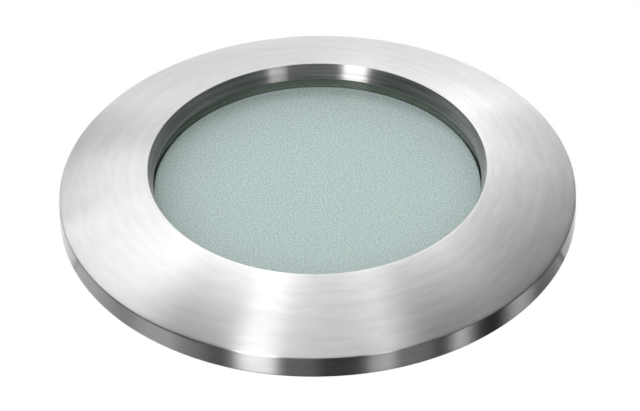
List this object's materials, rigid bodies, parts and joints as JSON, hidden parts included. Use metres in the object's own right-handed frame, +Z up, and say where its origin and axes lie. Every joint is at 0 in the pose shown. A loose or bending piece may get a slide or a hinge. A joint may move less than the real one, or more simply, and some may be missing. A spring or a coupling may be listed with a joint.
{
  "type": "recessed ceiling spotlight",
  "caption": "Round recessed ceiling spotlight: brushed metal trim ring with a frosted glass, a finned can, a twist-lock lamp in a ceramic holder on a strap, and sprung ceiling clips.",
  "frame": {"origin": "centre of the ceiling hole, at the ceiling's lower face, which is the top of the gasket", "axes": "+Z up into the ceiling void along the light's axis, X through the two spring clips, Y through the strap's legs"},
  "size_m": [0.1172, 0.085, 0.0825],
  "materials": {
    "brushed_aluminium": "circularly brushed",
    "cast_aluminium": "die cast, satin",
    "frosted_glass": "clear in front, sandblasted behind, green edge",
    "lamp_glass": "clear and glossy",
    "lamp_mirror": "faceted glass with a thin mirror coat",
    "silicone": "matt, translucent",
    "black_rubber": "matt",
    "foam": "closed-cell foam",
    "ceramic": "fired, half matt",
    "zinc_steel": "zinc plated sheet",
    "screw_steel": "zinc plated",
    "spring_steel": "drawn wire",
    "brass": "bright",
    "nickel": "nickel plated",
    "clear_vinyl": "half clear tube"
  },
  "bodies": {
    "housing": {"housing": "cast_aluminium", "ceiling_gasket": "foam", "holder_bracket": "zinc_steel", "lampholder_body": "ceramic", "lampholder_cap": "ceramic", "holder_contact_back": "brass", "holder_contact_front": "brass", "holder_screw_back": "screw_steel", "holder_screw_front": "screw_steel", "bracket_screw_back": "screw_steel", "bracket_screw_front": "screw_steel", "earth_washer": "screw_steel", "earth_screw": "brass", "earth_nut": "screw_steel", "clip_pin_right": "screw_steel", "clip_pin_left": "screw_steel"},
    "glass_unit": {"glass_disc": "frosted_glass", "glass_seal": "silicone"},
    "trim": {"trim_ring": "brushed_aluminium", "glass_retaining_ring": "brushed_aluminium", "bezel_o_ring": "black_rubber"},
    "lamp": {"lamp_reflector": "lamp_mirror", "lamp_front_glass": "lamp_glass", "lamp_capsule": "lamp_glass", "lamp_base": "ceramic", "lamp_pin_back": "nickel", "lamp_pin_front": "nickel"},
    "clip_right": {"clip_spring_right": "spring_steel", "clip_sleeve_right": "clear_vinyl"},
    "clip_left": {"clip_spring_left": "spring_steel", "clip_sleeve_left": "clear_vinyl"}
  },
  "joints": [
    {"name": "glass_slide", "type": "slide", "parent": "housing", "child": "glass_unit", "axis": [0, 0, -1], "range_m": [0, 0.00605]},
    {"name": "bezel_turn", "type": "hinge", "parent": "glass_unit", "child": "trim", "pos_m": [0, 0, 0], "axis": [0, 0, -1], "range_deg": [0, 1440]},
    {"name": "lamp_twist", "type": "hinge", "parent": "housing", "child": "lamp", "pos_m": [0, 0, 0.03], "axis": [0, 0, -1], "range_deg": [0, 25]},
    {"name": "clip_right_fold", "type": "hinge", "parent": "housing", "child": "clip_right", "pos_m": [0.0317, 0, 0.0142], "axis": [0, -1, 0], "range_deg": [0, 110], "stiffness_Nm_per_rad": 0.05, "springref_deg": -68.75, "deforming": ["clip_spring_right"]},
    {"name": "clip_left_fold", "type": "hinge", "parent": "housing", "child": "clip_left", "pos_m": [-0.0317, 0, 0.0142], "axis": [0, 1, 0], "range_deg": [0, 110], "stiffness_Nm_per_rad": 0.05, "springref_deg": -68.75, "deforming": ["clip_spring_left"]}
  ],
  "couplings": [
    {"joint": "glass_slide", "follows": "bezel_turn", "m_per_rad": 0.00023873}
  ]
}
